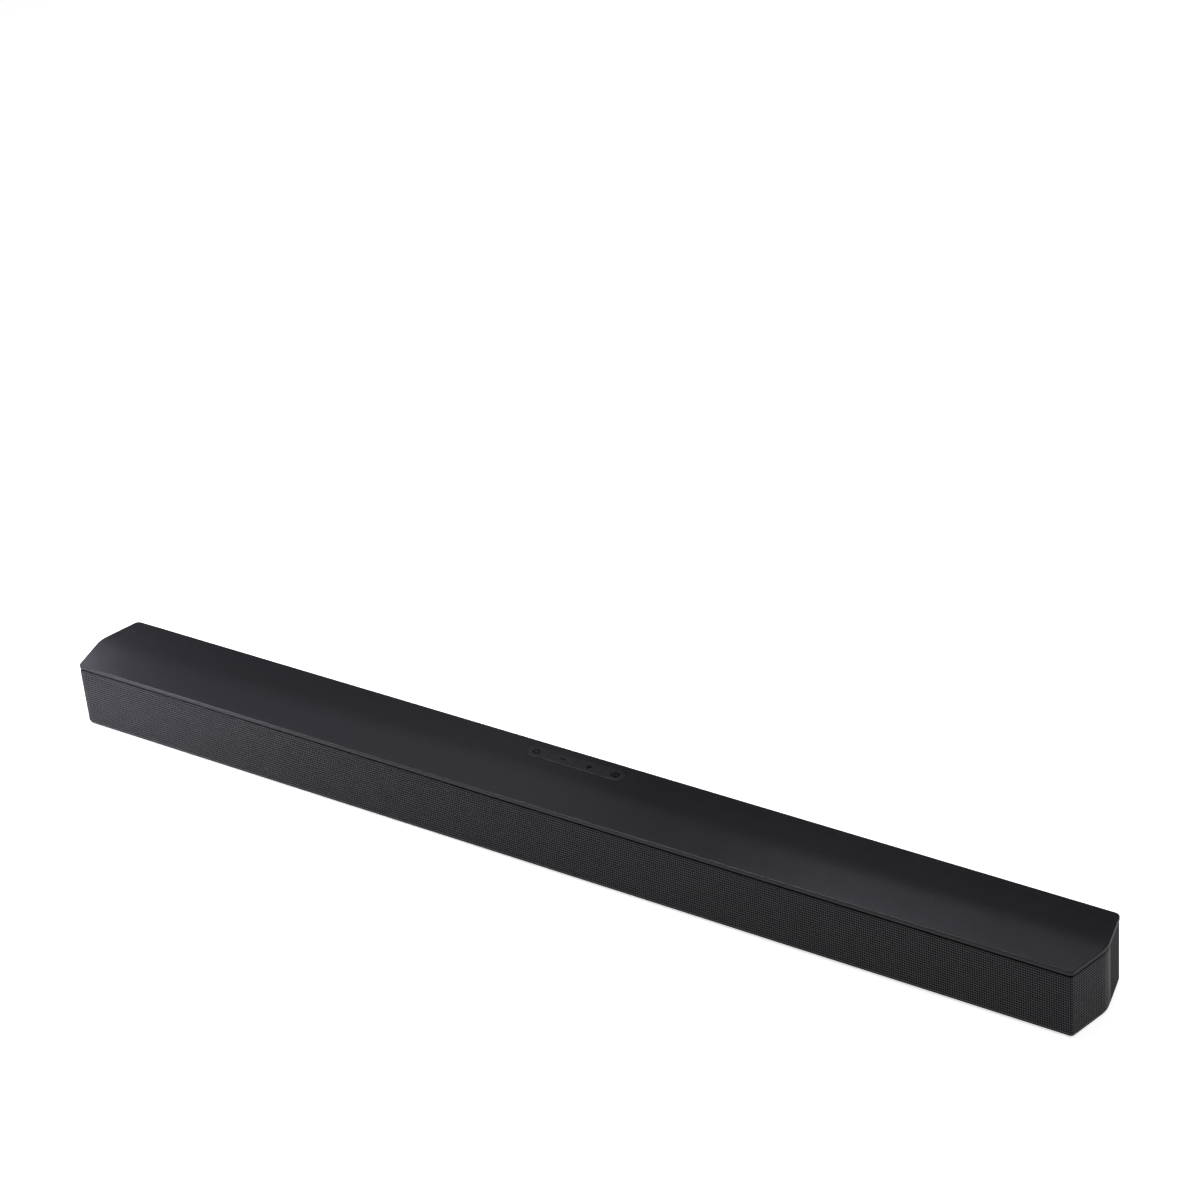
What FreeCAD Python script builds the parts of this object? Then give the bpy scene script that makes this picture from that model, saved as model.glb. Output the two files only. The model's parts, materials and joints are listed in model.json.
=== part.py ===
import FreeCAD, Part
import math
import os

# A slim soundbar with a six-sided plan: the two short ends come to a blunt vertical edge at
# mid-depth. A plastic cover with a thin rim closes the top. One bent steel sheet wraps the
# front and the front half of both ends. A plastic housing makes the floor, the back and the
# back half of the ends. Three racetrack woofers and two tweeters sit behind the sheet.
#
# Millimetres. +X runs along the bar, -Y is the front, +Z is up. The origin is at the middle
# of the bar on the surface that it stands on.

Vector = FreeCAD.Vector

# Overall size
depth = 82.0
body_height = 60.0
foot_height = 2.0
corner_half_length = 481.2      # centre to the front and back corners of the plan
point_half_length = 490.75      # centre to where the two end faces meet, before rounding: 980 overall
front_corner_radius = 4.0
back_corner_radius = 5.0
end_point_radius = 28.0
least_corner_radius = 0.5

# Stack of heights
floor_bottom = foot_height
cover_top = foot_height + body_height
trim_height = 1.4               # dark line of the floor's edge under the sheet
sheet_bottom = floor_bottom + trim_height
floor_thickness = 2.4
floor_top = floor_bottom + floor_thickness
cover_rim_height = 3.4
cover_plate_thickness = 2.4
cover_wall = 2.2
cover_edge_round = 0.9
crown_height = 0.7              # the cover's top rises from its long edges to a soft ridge at mid-depth
crown_blend = 7.0               # half width of the rounded ridge
rim_bottom = cover_top - cover_rim_height
plate_bottom = cover_top - cover_plate_thickness
shadow_gap = 1.9                # open line between the cover's rim and the faces below it
sheet_top = rim_bottom - shadow_gap

# Layers, each given as the distance in from the cover's outline
face_inset = 0.4                # the sheet and the housing's walls stand back from the cover
trim_inset = 0.9
sheet_thickness = 0.8
sheet_lip = 4.1                 # how far the sheet's folded edges reach inwards
sheet_fold_radius = 0.6
sheet_corner_radius = 1.6
cloth_inset = 2.8
cloth_thickness = 0.4
baffle_inset = cloth_inset + cloth_thickness
baffle_thickness = 4.0
wall_thickness = 3.0
tongue_thickness = 2.0
lap_clearance = 0.2
rim_clearance = 0.3             # between the cover's rim and the tongue behind it

# Where the sheet ends and the housing's own end walls begin, just behind the end point
sheet_end = 8.0
sheet_seam = 0.3

# Keys, in one pill-shaped opening near the back edge of the cover
pill_length = 95.3
pill_width = 13.7
pill_centre = depth / 2 - 15.5
key_gap = 0.3
key_proud = 0.7                 # above the cover's long edges; the crown takes up 0.3 of it
key_edge_round = 0.45
key_split = 25.5                # from the middle to the split between inner and outer key
key_names = ["power", "minus", "plus", "source"]
key_centres = [-38.5, -13.0, 13.0, 38.5]
key_flange = 0.8
key_flange_thickness = 1.3
key_stem_radius = 1.7
key_stem_reach = 0.6            # how far the stem stands in the switch's well
key_rest_gap = 0.3              # between the flange and the cover's underside
key_board_half_length = 61.0
key_board_half_width = 7.0
small_screw_clearance = 1.1
switch_side = 6.2
switch_height = 3.5
switch_well = 1.6
switch_well_gap = 0.1
key_board_top = 50.0

# Loudspeakers
half_depth = depth / 2
baffle_front = -half_depth + baffle_inset
baffle_back = baffle_front + baffle_thickness
driver_height = 30.0
woofer_centres = {"left": -330.0, "centre": 0.0, "right": 330.0}
tweeter_centres = {"left": -420.0, "right": 420.0}
cone_length = 96.0
cone_width = 28.0
roll_radius = 3.0
roll_sheet = 0.5
flange_length = 120.0
flange_width = 49.0
flange_thickness = 1.5
woofer_screw_x = 55.0
woofer_screw_z = 20.0
coil_radius = 8.0
former_wall = 0.4
basket_back = -14.0
basket_wall = 1.2
basket_plate = 1.5
basket_back_size = (50.0, 36.0)
basket_window_places = (22.0, 40.0)
mouth_margin = 11.0             # how much longer and wider the basket's mouth is than the cone
flange_corner_radius = 6.0
ledge_outside = 0.8
ledge_inside = 1.0
driver_screw_clearance = 1.3
tweeter_flange_radius = 22.0
tweeter_screw_z = 18.0
dome_radius = 10.8

# Jack pocket in the back, open to the back and to below
pocket_half_length = 75.0
pocket_top = 38.0
pocket_wall = 2.0
jack_plate_front = 20.2
jack_plate_thickness = 2.0
jack_plate_back = jack_plate_front + jack_plate_thickness
jack_row_height = 18.0
jack_screw_x = 68.0
jack_screw_heights = (10.0, 32.0)
jack_board_half_length = 63.0
jack_board_bottom = 7.0
jack_board_top = 40.0
jack_board_front = 7.6
board_thickness = 1.6
socket_depth = 11.0
blade_setback = 2.0
inlet_radius = 3.15
inlet_pin_radius = 1.0
inlet_depth = 10.0

# Main board
board_left = 104.0
board_right = 234.0
board_front = -18.0
board_back = 34.0
standoff_height = 4.6
main_board_top = floor_top + standoff_height + board_thickness
standoff_places = [(110.0, -12.0), (228.0, -12.0), (110.0, 28.0), (228.0, 28.0)]
board_hole_radius = 1.5
amplifier_places = (135.0, 168.0)
amplifier_y = 13.0
amplifier_side = 9.0
amplifier_height = 1.2
processor_place = (212.0, 8.0)
processor_side = 14.0
processor_height = 1.4
sink_left = 114.0
sink_right = 190.0
sink_front = -1.0
sink_back = 26.0
sink_base_thickness = 3.0
sink_fins = 13
sink_fin_thickness = 1.2
sink_fin_height = 13.0
coil_count = 6
first_coil_x = 124.0
coil_pitch = 16.0
coil_row_y = -10.0
coil_side = 10.0
coil_height = 6.0
coil_edge_round = 1.0
capacitor_places = [(201.0, 27.0), (214.0, 27.0)]
capacitor_radius = 5.0
capacitor_height = 18.0
capacitor_edge_round = 0.6

# Screws that hold the cover down, as (x, y)
cover_screw_places = [(side * x, y) for side in (-1, 1) for x, y in
                      ((80.0, -26.0), (245.0, -26.0), (460.0, -26.0),
                       (92.0, 31.0), (245.0, 31.0), (455.0, 31.0))]
column_radius = 4.5
column_top = 42.0
column_seat = 39.0
counterbore_radius = 3.2

# Wall-bracket inserts, M4, and feet
insert_places = [(-300.0, 18.0), (300.0, 18.0)]
insert_radius = 3.1
insert_bore = 1.65
insert_length = 10.0
insert_recess = 0.2
foot_places = {"front_left": (-400.0, -24.0), "front_right": (400.0, -24.0),
               "back_left": (-400.0, 24.0), "back_right": (400.0, 24.0)}
foot_length = 36.0
foot_width = 10.0
foot_recess = 0.8
foot_edge_round = 0.8

# Sizes that follow from the ones above, and places of the boards
baffle_bottom = sheet_bottom + sheet_thickness + 0.3
baffle_top = sheet_top - sheet_thickness - 0.3
baffle_end = sheet_end - 1.0
cloth_end = baffle_end - 1.0
insert_top = floor_bottom + insert_recess + insert_length
switch_top = key_board_top + switch_height
key_post_places = (-56.5, 56.5)
rib_places = (-262.0, 262.0)
spider_radius = 16.4
spider_back = basket_back - 2.6
coil_end = -8.5
seat_hole_radius = coil_radius + 1.5
jack_board_back = jack_board_front + board_thickness
wireless_standoffs = [(-201.5, 17.0), (-163.5, 17.0)]
wireless_thickness = 1.2
wireless_top = floor_top + standoff_height + wireless_thickness
front_board_centre = 154.0
front_board_height = 34.0
front_board_face = -30.0
front_post_spread = 17.0

# Each socket as (centre, half width, half height) in the plane of the jack plate
socket_sizes = {
    "power_inlet": (-48.0, 5.0, 5.5),
    "hdmi_input_socket": (-25.0, 7.5, 2.8),
    "hdmi_output_socket": (-2.0, 7.5, 2.8),
    "optical_socket": (20.0, 5.0, 5.0),
    "usb_socket": (42.0, 6.6, 2.9),
}

# Screws, each as (head radius, head height, shank radius, shank length)
housing_screw = (2.8, 2.2, 1.25, 14.0)
board_screw = (2.6, 1.8, 1.2, 5.0)
key_board_screw = (1.9, 1.4, 0.85, 6.0)
front_board_screw = (1.9, 1.4, 0.85, 4.0)
driver_screw = (2.4, 1.6, 1.05, flange_thickness + 2.0)
jack_plate_screw = (2.4, 1.6, 1.2, 6.0)

# The groove round each threaded insert that locks it in the floor
groove_depth = 0.4
groove_low = 4.0
groove_high = 6.0

# Smaller details of the casing
boss_radius = 3.5
boss_pilot_radius = 1.3
boss_pilot_top = 56.0
boss_bottom = column_top + lap_clearance
key_post_radius = 3.0
key_post_pilot_top = 57.0
small_pilot_radius = 0.95       # pilot holes for the small screws of the key and front boards
driver_pilot_radius = 1.15
driver_pilot_depth = 2.5
pilot_radius = 1.3              # pilot holes in the housing for the larger board and plate screws
clearance_radius = 1.7          # housing screws pass through
cloth_margin = 0.4
woofer_hole_margin = 8.3
tweeter_hole_radius = 13.0
window_size = (28.0, 10.0, 2.0)  # length, height and corner radius of the front board's window
post_radius = 2.5
standoff_radius = 3.0
insert_boss_wall = 2.0
insert_boss_roof = 1.5
rib_thickness = 2.0
rib_top = 30.0
tongue_inset = cover_wall + rim_clearance
wall_inside = half_depth - face_inset - wall_thickness / 2
overlap = 0.5                   # how far one lump is sunk into another that it is joined to
pilot_floor = 0.6
rib_front = baffle_back + 1.0
tongue_lap = 4.0                # how far the tongue is rooted below the top of the walls
pocket_wall_length = 8.0
plate_gap = 0.2
jack_boss_radius = 3.0
jack_boss_rib = 1.5
jack_pilot_depth = 6.0
foot_seat_gap = 0.2


# ---------------------------------------------------------------- shape helpers

def box(x_low, x_high, y_low, y_high, z_low, z_high):
    size = (x_high - x_low, y_high - y_low, z_high - z_low)
    return Part.makeBox(*size, Vector(x_low, y_low, z_low))


def upright_cylinder(radius, x, y, z_low, z_high):
    return Part.makeCylinder(radius, z_high - z_low, Vector(x, y, z_low))


def level_cylinder(radius, x, z, y_low, y_high):
    return Part.makeCylinder(radius, y_high - y_low, Vector(x, y_low, z), Vector(0, 1, 0))


def rounded_wire(corners, radii):
    """A closed outline in the XY plane, corners counter-clockwise, each with its own radius."""
    edges = []
    joins = []
    count = len(corners)
    for index in range(count):
        corner = Vector(*corners[index])
        into = (corner - Vector(*corners[index - 1])).normalize()
        out_of = (Vector(*corners[(index + 1) % count]) - corner).normalize()
        turn = into.getAngle(out_of)
        radius = radii[index]
        reach = radius * math.tan(turn / 2)
        inwards = (out_of - into).normalize()
        middle = corner + inwards * (radius / math.cos(turn / 2) - radius)
        joins.append((corner - into * reach, middle, corner + out_of * reach))
    for index in range(count):
        start, middle, end = joins[index]
        edges.append(Part.Arc(start, middle, end).toShape())
        next_start = joins[(index + 1) % count][0]
        if end.distanceToPoint(next_start) > 1e-6:
            edges.append(Part.LineSegment(end, next_start).toShape())
    return Part.Wire(edges)


def rounded_rectangle(width, height, radius):
    half_width = width / 2
    half_height = height / 2
    corners = [(-half_width, -half_height, 0), (half_width, -half_height, 0),
               (half_width, half_height, 0), (-half_width, half_height, 0)]
    return rounded_wire(corners, [radius] * 4)


def pill_wire(width, height):
    """A stadium outline in the XY plane: straight sides and half-round ends."""
    radius = height / 2
    straight = width / 2 - radius
    right_arc = Part.Arc(Vector(straight, -radius, 0), Vector(width / 2, 0, 0), Vector(straight, radius, 0))
    left_arc = Part.Arc(Vector(-straight, radius, 0), Vector(-width / 2, 0, 0), Vector(-straight, -radius, 0))
    top_line = Part.LineSegment(Vector(straight, radius, 0), Vector(-straight, radius, 0))
    bottom_line = Part.LineSegment(Vector(-straight, -radius, 0), Vector(straight, -radius, 0))
    return Part.Wire([right_arc.toShape(), top_line.toShape(), left_arc.toShape(), bottom_line.toShape()])


def lying_prism(wire, x, y, z_low, z_high):
    """The prism that stands on an XY outline."""
    face = Part.Face(wire)
    face.translate(Vector(x, y, z_low))
    return face.extrude(Vector(0, 0, z_high - z_low))


def standing_wire(wire, x, y, z):
    """The same outline stood up in an XZ plane at depth y."""
    placed = wire.copy()
    placed.rotate(Vector(0, 0, 0), Vector(1, 0, 0), 90)
    placed.translate(Vector(x, y, z))
    return placed


def standing_prism(wire, x, z, y_low, y_high):
    face = Part.Face(standing_wire(wire, x, y_low, z))
    return face.extrude(Vector(0, y_high - y_low, 0))


def tube(outer, inner, x, y, z_low, z_high):
    return upright_cylinder(outer, x, y, z_low, z_high).cut(upright_cylinder(inner, x, y, z_low, z_high))


def level_tube(outer, inner, x, z, y_low, y_high):
    return level_cylinder(outer, x, z, y_low, y_high).cut(level_cylinder(inner, x, z, y_low, y_high))


def joined(shapes):
    return shapes[0].multiFuse(shapes[1:]).removeSplitter()


def edges_at_height(shape, height):
    return [edge for edge in shape.Edges
            if abs(edge.BoundBox.ZMin - height) < 1e-4 and abs(edge.BoundBox.ZMax - height) < 1e-4]


# ---------------------------------------------------------------- plan of the bar

def plan_corners(inset):
    """The six plan corners, moved in from the cover's outline by the inset."""
    corners = [Vector(-corner_half_length, -half_depth, 0), Vector(corner_half_length, -half_depth, 0),
               Vector(point_half_length, 0, 0), Vector(corner_half_length, half_depth, 0),
               Vector(-corner_half_length, half_depth, 0), Vector(-point_half_length, 0, 0)]
    moved = []
    for index, corner in enumerate(corners):
        into = (corner - corners[index - 1]).normalize()
        out_of = (corners[(index + 1) % 6] - corner).normalize()
        normal_in = Vector(into.y, -into.x, 0)
        normal_out = Vector(out_of.y, -out_of.x, 0)
        shift = (normal_in + normal_out) * (inset / (1 + normal_in.dot(normal_out)))
        moved.append(corner - shift)
    return moved


def plan_prism(inset, z_low, z_high, front_radius=front_corner_radius):
    """The bar's plan, inset from the cover's outline, from one height to another.

    The front radius is the one that the two front corners would have without the inset.
    """
    uninset = [front_radius, front_radius, end_point_radius, back_corner_radius, back_corner_radius,
               end_point_radius]
    radii = [max(radius - inset, least_corner_radius) for radius in uninset]
    wire = rounded_wire([tuple(corner) for corner in plan_corners(inset)], radii)
    return lying_prism(wire, 0, 0, z_low, z_high)


def plan_band(outer_inset, inner_inset, z_low, z_high):
    """The ring between two insets of the plan."""
    return plan_prism(outer_inset, z_low, z_high).cut(plan_prism(inner_inset, z_low, z_high))


def region_behind(y):
    return box(-2 * point_half_length, 2 * point_half_length, y, depth, -1, 2 * cover_top)


def region_before(y):
    return box(-2 * point_half_length, 2 * point_half_length, -depth, y, -1, 2 * cover_top)


# ---------------------------------------------------------------- casing

def front_board_posts():
    return (front_board_centre - front_post_spread, front_board_centre + front_post_spread)


def under_crown():
    """Everything below the cover's crowned top: two slopes that meet in a rounded ridge."""
    slope = crown_height / half_depth
    reach = depth
    ridge = cover_top + crown_height
    blend = ridge - crown_blend * slope
    low = ridge - reach * slope
    front_blend = Vector(0, -crown_blend, blend)
    back_blend = Vector(0, crown_blend, blend)
    roof = [Part.LineSegment(Vector(0, -reach, low), front_blend),
            Part.Arc(front_blend, Vector(0, 0, (ridge + blend) / 2), back_blend),
            Part.LineSegment(back_blend, Vector(0, reach, low)),
            Part.LineSegment(Vector(0, reach, low), Vector(0, reach, 0)),
            Part.LineSegment(Vector(0, reach, 0), Vector(0, -reach, 0)),
            Part.LineSegment(Vector(0, -reach, 0), Vector(0, -reach, low))]
    face = Part.Face(Part.Wire([line.toShape() for line in roof]))
    face.translate(Vector(-2 * point_half_length, 0, 0))
    return face.extrude(Vector(4 * point_half_length, 0, 0))


def outline_edges(cover):
    """The edges round the top of the cover, without the lines where its two slopes meet the ridge."""
    edges = []
    for edge in cover.Edges:
        bounds = edge.BoundBox
        is_upright = bounds.ZLength > crown_height
        is_on_ridge = bounds.XLength > corner_half_length and abs(edge.CenterOfMass.y) < half_depth / 2
        if bounds.ZMin > rim_bottom and not is_upright and not is_on_ridge:
            edges.append(edge)
    return edges


def make_top_cover():
    """Crowned plate with a down-turned rim, screw bosses, key-board posts and the key opening."""
    outer = plan_prism(0, rim_bottom, cover_top + 2 * crown_height).common(under_crown())
    outer = outer.makeFillet(cover_edge_round, outline_edges(outer))
    hollow = plan_prism(cover_wall, rim_bottom, plate_bottom)
    cover = outer.cut(hollow)

    for x, y in cover_screw_places:
        cover = cover.fuse(upright_cylinder(boss_radius, x, y, boss_bottom, plate_bottom))
        cover = cover.cut(upright_cylinder(boss_pilot_radius, x, y, boss_bottom, boss_pilot_top))
    for x in key_post_places:
        cover = cover.fuse(upright_cylinder(key_post_radius, x, pill_centre, key_board_top, plate_bottom))
        cover = cover.cut(upright_cylinder(small_pilot_radius, x, pill_centre, key_board_top,
                                           key_post_pilot_top))

    opening = pill_wire(pill_length + 2 * key_gap, pill_width + 2 * key_gap)
    return cover.cut(lying_prism(opening, 0, pill_centre, plate_bottom, cover_top + crown_height))


def make_front_grille():
    """One bent steel sheet with inward lips along its top and bottom."""
    uninset_radius = sheet_corner_radius + face_inset
    skin = plan_prism(face_inset, sheet_bottom, sheet_top, uninset_radius)
    rounded = edges_at_height(skin, sheet_top) + edges_at_height(skin, sheet_bottom)
    skin = skin.makeFillet(sheet_fold_radius, rounded)
    hollow = plan_prism(face_inset + sheet_thickness, sheet_bottom + sheet_thickness,
                        sheet_top - sheet_thickness, uninset_radius)
    mouth = plan_prism(face_inset + sheet_lip, sheet_bottom, sheet_top)
    return skin.cut(hollow).cut(mouth).common(region_before(sheet_end))


def make_acoustic_cloth():
    """Black cloth stretched over the baffle, behind the sheet's holes."""
    band = plan_band(cloth_inset, baffle_inset, baffle_bottom + cloth_margin, baffle_top - cloth_margin)
    return band.common(region_before(cloth_end))


def make_front_baffle():
    """The panel that carries the drivers, with a ridge that laps behind the cover's rim."""
    panel = plan_band(baffle_inset, baffle_inset + baffle_thickness, baffle_bottom, baffle_top)
    ridge = plan_band(face_inset + sheet_lip + lap_clearance, baffle_inset + baffle_thickness,
                      baffle_top, plate_bottom - lap_clearance)
    baffle = panel.fuse(ridge).common(region_before(baffle_end))

    cut_front = baffle_front - 1
    cut_back = baffle_back + 1
    woofer_hole = pill_wire(cone_length + 2 * woofer_hole_margin, cone_width + 2 * woofer_hole_margin)
    for x in woofer_centres.values():
        baffle = baffle.cut(standing_prism(woofer_hole, x, driver_height, cut_front, cut_back))
    for x in tweeter_centres.values():
        baffle = baffle.cut(level_cylinder(tweeter_hole_radius, x, driver_height, cut_front, cut_back))
    for x, z in driver_screw_places():
        baffle = baffle.cut(level_cylinder(driver_pilot_radius, x, z, baffle_back - driver_pilot_depth,
                                           baffle_back))

    window = rounded_rectangle(*window_size)
    baffle = baffle.cut(standing_prism(window, front_board_centre, front_board_height, cut_front, cut_back))
    for x in front_board_posts():
        post = level_cylinder(post_radius, x, front_board_height, baffle_back, front_board_face)
        pilot = level_cylinder(small_pilot_radius, x, front_board_height, baffle_back, front_board_face)
        baffle = baffle.fuse(post).cut(pilot)
    return baffle


def housing_shell():
    """Floor, back wall, plain back half of the ends, and the tongue behind the cover's rim."""
    start = sheet_end + sheet_seam
    floor = plan_prism(trim_inset, floor_bottom, sheet_bottom)
    floor_step = plan_prism(face_inset + sheet_lip + lap_clearance, sheet_bottom, floor_top)
    floor_back = plan_prism(trim_inset, sheet_bottom, floor_top).common(region_behind(start))
    wall = plan_band(face_inset, face_inset + wall_thickness, sheet_bottom, sheet_top)
    tongue = plan_band(tongue_inset, tongue_inset + tongue_thickness, sheet_top - tongue_lap,
                       plate_bottom - lap_clearance)
    walls = wall.fuse(tongue).common(region_behind(start))
    return [floor, floor_step, floor_back, walls]


def pocket_walls():
    """Roof and sides of the jack pocket, and the bosses that its plate is screwed to."""
    outer_half = pocket_half_length + pocket_wall
    front = jack_plate_front - pocket_wall_length
    roof_top = pocket_top + pocket_wall
    solids = [box(-outer_half, outer_half, jack_plate_front, wall_inside, pocket_top, roof_top)]
    for side in (-1, 1):
        near, far = sorted((side * pocket_half_length, side * outer_half))
        solids.append(box(near, far, front, wall_inside, floor_top, pocket_top + pocket_wall / 2))
    for x, z in jack_screw_places():
        solids.append(level_cylinder(jack_boss_radius, x, z, front, jack_plate_front))
        low, high = sorted((x, math.copysign(outer_half - pocket_wall / 2, x)))
        solids.append(box(low, high, front, jack_plate_front - pocket_wall,
                          z - jack_boss_rib, z + jack_boss_rib))
    return solids


def make_lower_housing():
    """Floor, back wall, plain back half of the ends, screw columns and the jack pocket."""
    solids = housing_shell() + pocket_walls()
    standoff_top = floor_top + standoff_height
    for x, y in cover_screw_places:
        solids.append(upright_cylinder(column_radius, x, y, floor_bottom, column_top))
    for x, y in insert_places:
        solids.append(upright_cylinder(insert_radius + insert_boss_wall, x, y, floor_bottom,
                                       insert_top + insert_boss_roof))
    for x, y in standoff_places + wireless_standoffs:
        solids.append(upright_cylinder(standoff_radius, x, y, floor_bottom, standoff_top))
    for x in rib_places:
        solids.append(box(x - rib_thickness / 2, x + rib_thickness / 2, rib_front, wall_inside,
                          floor_top - overlap, rib_top))
    housing = joined(solids)

    pocket = box(-pocket_half_length, pocket_half_length, jack_plate_back + plate_gap, depth, 0, pocket_top)
    housing = housing.cut(pocket)
    for x, y in cover_screw_places:
        housing = housing.cut(upright_cylinder(counterbore_radius, x, y, floor_bottom, column_seat))
        housing = housing.cut(upright_cylinder(clearance_radius, x, y, column_seat, column_top))
    for x, y in insert_places:
        housing = housing.cut(upright_cylinder(insert_radius, x, y, floor_bottom, insert_top))
    for x, y in standoff_places + wireless_standoffs:
        housing = housing.cut(upright_cylinder(pilot_radius, x, y, floor_top + pilot_floor, standoff_top))
    for x, z in jack_screw_places():
        housing = housing.cut(level_cylinder(pilot_radius, x, z, jack_plate_front - jack_pilot_depth,
                                             jack_plate_front))
    pad = pill_wire(foot_length + 2 * foot_seat_gap, foot_width + 2 * foot_seat_gap)
    for x, y in foot_places.values():
        housing = housing.cut(lying_prism(pad, x, y, floor_bottom, floor_bottom + foot_recess))
    return housing


def make_foot(x, y):
    """Rubber pad, glued in a shallow seat in the floor."""
    pad = lying_prism(pill_wire(foot_length, foot_width), x, y, 0, floor_bottom + foot_recess)
    return pad.makeFillet(foot_edge_round, edges_at_height(pad, 0))


# ---------------------------------------------------------------- fasteners

def screw_up(x, y, seat, head_radius, head_height, shank_radius, shank_length):
    """A screw driven upwards, its head under the seat, with a cross recess in the head."""
    head = upright_cylinder(head_radius, x, y, seat - head_height, seat)
    shank = upright_cylinder(shank_radius, x, y, seat, seat + shank_length)
    arm = head_radius * 0.6
    slot_depth = head_height * 0.6
    half_slot = 0.3
    bottom = seat - head_height
    slot_top = bottom + slot_depth
    cross = box(x - arm, x + arm, y - half_slot, y + half_slot, bottom, slot_top).fuse(
        box(x - half_slot, x + half_slot, y - arm, y + arm, bottom, slot_top))
    return head.fuse(shank).cut(cross)


def turned(screw, x, y, z, axis, angle):
    """A screw made at the origin, turned and set in place."""
    placed = screw.copy()
    placed.rotate(Vector(0, 0, 0), axis, angle)
    placed.translate(Vector(x, y, z))
    return placed


def make_housing_screws():
    """Long screws, driven up through the housing's columns into the cover."""
    return Part.makeCompound([screw_up(x, y, column_seat, *housing_screw) for x, y in cover_screw_places])


def make_board_screws():
    """Small screws of the main, wireless, key and front boards."""
    down = screw_up(0, 0, 0, *board_screw)
    screws = [turned(down, x, y, main_board_top, Vector(1, 0, 0), 180) for x, y in standoff_places]
    screws += [turned(down, x, y, wireless_top, Vector(1, 0, 0), 180) for x, y in wireless_standoffs]
    screws += [screw_up(x, pill_centre, key_board_top - board_thickness, *key_board_screw)
               for x in key_post_places]
    forward = screw_up(0, 0, 0, *front_board_screw)
    screws += [turned(forward, x, front_board_face + board_thickness, front_board_height, Vector(1, 0, 0), 90)
               for x in front_board_posts()]
    return Part.makeCompound(screws)


def make_driver_screws():
    """Screws through the driver flanges into the baffle, heads at the back."""
    forward = screw_up(0, 0, 0, *driver_screw)
    seat = baffle_back + flange_thickness
    screws = [turned(forward, x, seat, z, Vector(1, 0, 0), 90) for x, z in driver_screw_places()]
    return Part.makeCompound(screws)


def make_jack_plate_screws():
    """Screws through the jack plate into the pocket's bosses, heads at the back."""
    forward = screw_up(0, 0, 0, *jack_plate_screw)
    return Part.makeCompound([turned(forward, x, jack_plate_back, z, Vector(1, 0, 0), 90)
                              for x, z in jack_screw_places()])


def make_bracket_inserts():
    """Brass threaded inserts, M4, moulded into the floor for a wall bracket."""
    bottom = floor_bottom + insert_recess
    sleeves = []
    for x, y in insert_places:
        sleeve = tube(insert_radius, insert_bore, x, y, bottom, insert_top)
        groove = tube(insert_radius + insert_boss_wall, insert_radius - groove_depth, x, y,
                      bottom + groove_low, bottom + groove_high)
        sleeves.append(sleeve.cut(groove))
    return Part.makeCompound(sleeves)


# ---------------------------------------------------------------- keys

def key_span(index):
    """The stretch of the pill that one key takes, before its gaps."""
    edges = [-pill_length, -key_split, 0.0, key_split, pill_length]
    return edges[index] + key_gap / 2, edges[index + 1] - key_gap / 2


def make_key_cap(index):
    """A key with a rounded outer edge, a flange that holds it in, and its stem."""
    crown_top = cover_top + key_proud
    flange_top = plate_bottom - key_rest_gap
    flange_bottom = flange_top - key_flange_thickness
    crown = lying_prism(pill_wire(pill_length, pill_width), 0, pill_centre, flange_bottom, crown_top)
    crown = crown.makeFillet(key_edge_round, edges_at_height(crown, crown_top))
    wider = pill_wire(pill_length + 2 * key_flange, pill_width + 2 * key_flange)
    flange = lying_prism(wider, 0, pill_centre, flange_bottom, flange_top)
    low, high = key_span(index)
    span = box(low, high, pill_centre - pill_width, pill_centre + pill_width, flange_bottom, crown_top)
    stem_bottom = switch_top - key_stem_reach
    stem = upright_cylinder(key_stem_radius, key_centres[index], pill_centre, stem_bottom, flange_bottom)
    return crown.fuse(flange).common(span).fuse(stem).removeSplitter()


def make_key_switch(index):
    """The switch's body: a small square case with the well that the stem presses into."""
    x = key_centres[index]
    half = switch_side / 2
    case = box(x - half, x + half, pill_centre - half, pill_centre + half, key_board_top, switch_top)
    well_radius = key_stem_radius + switch_well_gap
    well = upright_cylinder(well_radius, x, pill_centre, switch_top - switch_well, switch_top)
    return case.cut(well)


def make_key_board():
    """Narrow board under the keys, hung from two posts of the cover."""
    bottom = key_board_top - board_thickness
    board = box(-key_board_half_length, key_board_half_length, pill_centre - key_board_half_width,
                pill_centre + key_board_half_width, bottom, key_board_top)
    for x in key_post_places:
        board = board.cut(upright_cylinder(small_screw_clearance, x, pill_centre, bottom, key_board_top))
    return board


# ---------------------------------------------------------------- woofers

def driver_screw_places():
    places = [(x + side * woofer_screw_x, driver_height + level * woofer_screw_z)
              for x in woofer_centres.values() for side in (-1, 1) for level in (-1, 1)]
    places += [(x, driver_height + level * tweeter_screw_z)
               for x in tweeter_centres.values() for level in (-1, 1)]
    return places


def racetrack_loft(front_size, back_size, x, y_front, y_back):
    front = standing_wire(pill_wire(*front_size), x, y_front, driver_height)
    back = standing_wire(pill_wire(*back_size), x, y_back, driver_height)
    return Part.makeLoft([front, back], True, True)


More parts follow.
